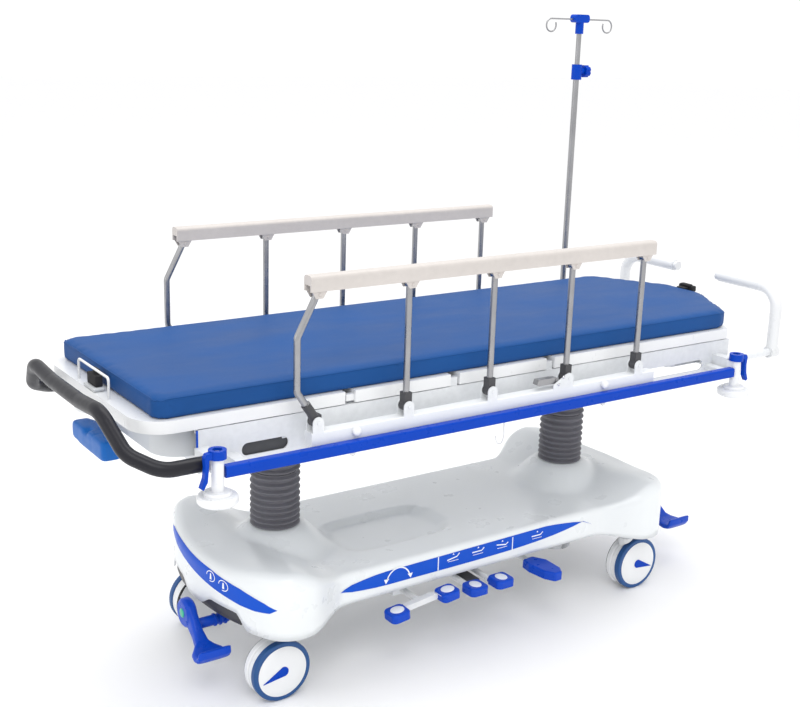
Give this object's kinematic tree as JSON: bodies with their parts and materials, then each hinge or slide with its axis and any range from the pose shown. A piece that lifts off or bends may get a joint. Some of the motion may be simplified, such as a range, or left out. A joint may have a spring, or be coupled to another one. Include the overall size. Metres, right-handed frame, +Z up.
{
  "type": "stretcher trolley",
  "caption": "Hospital stretcher trolley: jointed padded deck on hydraulic columns, folding side rails, moulded base with pedals and castors, drip pole.",
  "frame": {"origin": "on the floor, midway between the two lift columns", "axes": "+X to the head end, +Y away from the pedal side, +Z up"},
  "size_m": [2.09, 0.8398, 1.66],
  "materials": {
    "painted_frame": "satin white powder coat",
    "base_cover": "smooth moulded off-white, semi-gloss",
    "column_steel": "ground",
    "bellows_rubber": "matt folded grey",
    "blue_plastic": "moulded blue",
    "white_plastic": "moulded white",
    "grey_tray": "light grey",
    "bar_grip": "black grip sleeve",
    "white_coated_steel": "white coating",
    "light_blue_plastic": "moulded light blue",
    "mattress_cover": "wipe-clean coated fabric, blue",
    "pedal_plastic": "blue pads on white arms",
    "pole_steel": "satin stainless",
    "castor_plastic": "moulded grey-white",
    "castor_tyre": "dark tread with blue ring and cream disc",
    "cream_plastic": "moulded cream"
  },
  "bodies": {
    "base": {"base_chassis": "painted_frame", "base_shell": "base_cover", "column_cylinders": "column_steel", "bellows": "bellows_rubber"},
    "lift_stage": {"column_mid_tubes": "column_steel"},
    "rod_foot": {"column_rod_foot": "column_steel"},
    "rod_head": {"column_rod_head": "column_steel"},
    "deck": {"deck_frame": "painted_frame", "corner_posts": "white_plastic", "bumper_rails": "blue_plastic", "foot_push_bar": "bar_grip", "end_trays": "grey_tray", "seat_panel": "white_plastic", "mattress_seat": "mattress_cover", "control_block": "light_blue_plastic", "iv_pole_lower": "pole_steel", "rail_beam_near": "painted_frame", "rail_beam_far": "painted_frame"},
    "back": {"back_panel": "white_plastic", "mattress_back": "mattress_cover"},
    "thigh": {"thigh_panel": "white_plastic", "mattress_thigh": "mattress_cover"},
    "calf": {"calf_panel": "white_plastic", "mattress_calf": "mattress_cover", "foot_fittings": "white_coated_steel"},
    "brake": {"brake_linkage": "blue_plastic"},
    "rocker": {"rocker_pedal": "pedal_plastic"},
    "lower_foot": {"lower_pedal_foot": "pedal_plastic"},
    "lower_head": {"lower_pedal_head": "pedal_plastic"},
    "pump": {"pump_pedal": "pedal_plastic"},
    "drip_upper": {"iv_pole_upper": "pole_steel"},
    "drip_knob": {"iv_clamp_knob": "blue_plastic"},
    "castor_foot_near": {"castor_fork_foot_near": "castor_plastic"},
    "wheel_foot_near": {"castor_wheel_foot_near": "castor_tyre"},
    "lever_foot_near": {"clamp_lever_foot_near": "blue_plastic"},
    "castor_foot_far": {"castor_fork_foot_far": "castor_plastic"},
    "wheel_foot_far": {"castor_wheel_foot_far": "castor_tyre"},
    "lever_foot_far": {"clamp_lever_foot_far": "blue_plastic"},
    "castor_head_near": {"castor_fork_head_near": "castor_plastic"},
    "wheel_head_near": {"castor_wheel_head_near": "castor_tyre"},
    "lever_head_near": {"clamp_lever_head_near": "blue_plastic"},
    "castor_head_far": {"castor_fork_head_far": "castor_plastic"},
    "wheel_head_far": {"castor_wheel_head_far": "castor_tyre"},
    "lever_head_far": {"clamp_lever_head_far": "blue_plastic"},
    "handle_near": {"push_handle_near": "white_coated_steel"},
    "latch_near": {"rail_latch_near": "pole_steel"},
    "post_near_1": {"rail_post_near_1": "pole_steel"},
    "post_near_2": {"rail_post_near_2": "pole_steel"},
    "post_near_3": {"rail_post_near_3": "pole_steel"},
    "post_near_4": {"rail_post_near_4": "pole_steel"},
    "post_near_5": {"rail_post_near_5": "pole_steel"},
    "rail_top_near": {"handrail_near": "cream_plastic"},
    "handle_far": {"push_handle_far": "white_coated_steel"},
    "latch_far": {"rail_latch_far": "pole_steel"},
    "post_far_1": {"rail_post_far_1": "pole_steel"},
    "post_far_2": {"rail_post_far_2": "pole_steel"},
    "post_far_3": {"rail_post_far_3": "pole_steel"},
    "post_far_4": {"rail_post_far_4": "pole_steel"},
    "post_far_5": {"rail_post_far_5": "pole_steel"},
    "rail_top_far": {"handrail_far": "cream_plastic"}
  },
  "joints": [
    {"name": "lift", "type": "slide", "parent": "base", "child": "lift_stage", "axis": [0, 0, 1], "range_m": [-0.13, 0.08], "deforming": ["bellows"]},
    {"name": "tilt", "type": "hinge", "parent": "lift_stage", "child": "deck", "pos_m": [0, 0, 0.67], "axis": [0, 1, 0], "range_deg": [-9, 9]},
    {"name": "foot_rod_slide", "type": "slide", "parent": "lift_stage", "child": "rod_foot", "axis": [0, 0, 1], "range_m": [-0.08, 0.08]},
    {"name": "head_rod_slide", "type": "slide", "parent": "lift_stage", "child": "rod_head", "axis": [0, 0, 1], "range_m": [-0.08, 0.08]},
    {"name": "backrest", "type": "hinge", "parent": "deck", "child": "back", "pos_m": [0.158, 0, 0.77], "axis": [0, -1, 0], "range_deg": [0, 70]},
    {"name": "knee_lift", "type": "hinge", "parent": "deck", "child": "thigh", "pos_m": [-0.152, 0, 0.77], "axis": [0, 1, 0], "range_deg": [0, 30]},
    {"name": "calf_fold", "type": "hinge", "parent": "thigh", "child": "calf", "pos_m": [-0.457, 0, 0.77], "axis": [0, 1, 0], "range_deg": [-48, 0]},
    {"name": "brake_pedal", "type": "hinge", "parent": "base", "child": "brake", "pos_m": [0, -0.06, 0.158], "axis": [1, 0, 0], "range_deg": [-12, 12]},
    {"name": "tilt_rocker", "type": "hinge", "parent": "base", "child": "rocker", "pos_m": [-0.213, -0.27, 0.175], "axis": [0, 1, 0], "range_deg": [-8, 8]},
    {"name": "drip_slide", "type": "slide", "parent": "deck", "child": "drip_upper", "axis": [0, 0, 1], "range_m": [-0.06, 0.4]},
    {"name": "drip_knob_turn", "type": "hinge", "parent": "deck", "child": "drip_knob", "pos_m": [0.84, 0.375, 1.486], "axis": [1, 0, 0], "continuous": true},
    {"name": "lower_foot_press", "type": "hinge", "parent": "base", "child": "lower_foot", "pos_m": [-0.05, -0.095, 0.192], "axis": [1, 0, 0], "range_deg": [0, 12], "stiffness_Nm_per_rad": 8, "springref_deg": -2.86},
    {"name": "lower_head_press", "type": "hinge", "parent": "base", "child": "lower_head", "pos_m": [0.024, -0.095, 0.192], "axis": [1, 0, 0], "range_deg": [0, 12], "stiffness_Nm_per_rad": 8, "springref_deg": -2.86},
    {"name": "pump_press", "type": "hinge", "parent": "base", "child": "pump", "pos_m": [0.19, -0.095, 0.192], "axis": [1, 0, 0], "range_deg": [0, 12], "stiffness_Nm_per_rad": 8, "springref_deg": -2.86},
    {"name": "swivel_foot_near", "type": "hinge", "parent": "base", "child": "castor_foot_near", "pos_m": [-0.574, -0.222, 0.2], "axis": [0, 0, 1], "continuous": true},
    {"name": "roll_foot_near", "type": "hinge", "parent": "castor_foot_near", "child": "wheel_foot_near", "pos_m": [-0.604, -0.222, 0.078], "axis": [0, 1, 0], "continuous": true},
    {"name": "socket_lever_foot_near", "type": "hinge", "parent": "deck", "child": "lever_foot_near", "pos_m": [-0.834, -0.375, 0.72], "axis": [0, 0, 1], "range_deg": [0, 80]},
    {"name": "swivel_foot_far", "type": "hinge", "parent": "base", "child": "castor_foot_far", "pos_m": [-0.574, 0.222, 0.2], "axis": [0, 0, 1], "continuous": true},
    {"name": "roll_foot_far", "type": "hinge", "parent": "castor_foot_far", "child": "wheel_foot_far", "pos_m": [-0.604, 0.222, 0.078], "axis": [0, 1, 0], "continuous": true},
    {"name": "socket_lever_foot_far", "type": "hinge", "parent": "deck", "child": "lever_foot_far", "pos_m": [-0.834, 0.375, 0.72], "axis": [0, 0, -1], "range_deg": [0, 80]},
    {"name": "swivel_head_near", "type": "hinge", "parent": "base", "child": "castor_head_near", "pos_m": [0.574, -0.222, 0.2], "axis": [0, 0, 1], "continuous": true},
    {"name": "roll_head_near", "type": "hinge", "parent": "castor_head_near", "child": "wheel_head_near", "pos_m": [0.604, -0.222, 0.078], "axis": [0, 1, 0], "continuous": true},
    {"name": "socket_lever_head_near", "type": "hinge", "parent": "deck", "child": "lever_head_near", "pos_m": [0.8, -0.375, 0.72], "axis": [0, 0, -1], "range_deg": [0, 80]},
    {"name": "swivel_head_far", "type": "hinge", "parent": "base", "child": "castor_head_far", "pos_m": [0.574, 0.222, 0.2], "axis": [0, 0, 1], "continuous": true},
    {"name": "roll_head_far", "type": "hinge", "parent": "castor_head_far", "child": "wheel_head_far", "pos_m": [0.604, 0.222, 0.078], "axis": [0, 1, 0], "continuous": true},
    {"name": "socket_lever_head_far", "type": "hinge", "parent": "deck", "child": "lever_head_far", "pos_m": [0.8, 0.375, 0.72], "axis": [0, 0, 1], "range_deg": [0, 80]},
    {"name": "handle_fold_near", "type": "hinge", "parent": "deck", "child": "handle_near", "pos_m": [1.028, -0.316, 0.698], "axis": [-1, 0, 0], "range_deg": [0, 90]},
    {"name": "latch_near_lift", "type": "hinge", "parent": "deck", "child": "latch_near", "pos_m": [0.133, -0.347, 0.744], "axis": [0, 1, 0], "range_deg": [0, 8]},
    {"name": "rail_fold_near", "type": "hinge", "parent": "deck", "child": "post_near_1", "pos_m": [-0.578, -0.347, 0.746], "axis": [0, 1, 0], "range_deg": [0, 80]},
    {"name": "rail_fold_near_2", "type": "hinge", "parent": "deck", "child": "post_near_2", "pos_m": [-0.331, -0.347, 0.746], "axis": [0, 1, 0], "range_deg": [0, 80]},
    {"name": "rail_fold_near_3", "type": "hinge", "parent": "deck", "child": "post_near_3", "pos_m": [-0.08, -0.347, 0.746], "axis": [0, 1, 0], "range_deg": [0, 80]},
    {"name": "rail_fold_near_4", "type": "hinge", "parent": "deck", "child": "post_near_4", "pos_m": [0.171, -0.347, 0.746], "axis": [0, 1, 0], "range_deg": [0, 80]},
    {"name": "rail_fold_near_5", "type": "hinge", "parent": "deck", "child": "post_near_5", "pos_m": [0.422, -0.347, 0.746], "axis": [0, 1, 0], "range_deg": [0, 80]},
    {"name": "rail_level_near", "type": "hinge", "parent": "post_near_1", "child": "rail_top_near", "pos_m": [-0.578, -0.347, 1.04], "axis": [0, 1, 0], "range_deg": [-80, 0]},
    {"name": "handle_fold_far", "type": "hinge", "parent": "deck", "child": "handle_far", "pos_m": [1.028, 0.316, 0.698], "axis": [1, 0, 0], "range_deg": [0, 90]},
    {"name": "latch_far_lift", "type": "hinge", "parent": "deck", "child": "latch_far", "pos_m": [0.133, 0.347, 0.744], "axis": [0, 1, 0], "range_deg": [0, 8]},
    {"name": "rail_fold_far", "type": "hinge", "parent": "deck", "child": "post_far_1", "pos_m": [-0.578, 0.347, 0.746], "axis": [0, 1, 0], "range_deg": [0, 80]},
    {"name": "rail_fold_far_2", "type": "hinge", "parent": "deck", "child": "post_far_2", "pos_m": [-0.331, 0.347, 0.746], "axis": [0, 1, 0], "range_deg": [0, 80]},
    {"name": "rail_fold_far_3", "type": "hinge", "parent": "deck", "child": "post_far_3", "pos_m": [-0.08, 0.347, 0.746], "axis": [0, 1, 0], "range_deg": [0, 80]},
    {"name": "rail_fold_far_4", "type": "hinge", "parent": "deck", "child": "post_far_4", "pos_m": [0.171, 0.347, 0.746], "axis": [0, 1, 0], "range_deg": [0, 80]},
    {"name": "rail_fold_far_5", "type": "hinge", "parent": "deck", "child": "post_far_5", "pos_m": [0.422, 0.347, 0.746], "axis": [0, 1, 0], "range_deg": [0, 80]},
    {"name": "rail_level_far", "type": "hinge", "parent": "post_far_1", "child": "rail_top_far", "pos_m": [-0.578, 0.347, 1.04], "axis": [0, 1, 0], "range_deg": [-80, 0]}
  ],
  "couplings": [
    {"joint": "foot_rod_slide", "follows": "tilt", "m_per_rad": 0.49},
    {"joint": "head_rod_slide", "follows": "tilt", "m_per_rad": -0.49},
    {"joint": "calf_fold", "follows": "knee_lift", "ratio": -1.55},
    {"joint": "rail_fold_near_2", "follows": "rail_fold_near", "ratio": 1},
    {"joint": "rail_fold_near_3", "follows": "rail_fold_near", "ratio": 1},
    {"joint": "rail_fold_near_4", "follows": "rail_fold_near", "ratio": 1},
    {"joint": "rail_fold_near_5", "follows": "rail_fold_near", "ratio": 1},
    {"joint": "rail_level_near", "follows": "rail_fold_near", "ratio": -1},
    {"joint": "rail_fold_far_2", "follows": "rail_fold_far", "ratio": 1},
    {"joint": "rail_fold_far_3", "follows": "rail_fold_far", "ratio": 1},
    {"joint": "rail_fold_far_4", "follows": "rail_fold_far", "ratio": 1},
    {"joint": "rail_fold_far_5", "follows": "rail_fold_far", "ratio": 1},
    {"joint": "rail_level_far", "follows": "rail_fold_far", "ratio": -1}
  ]
}
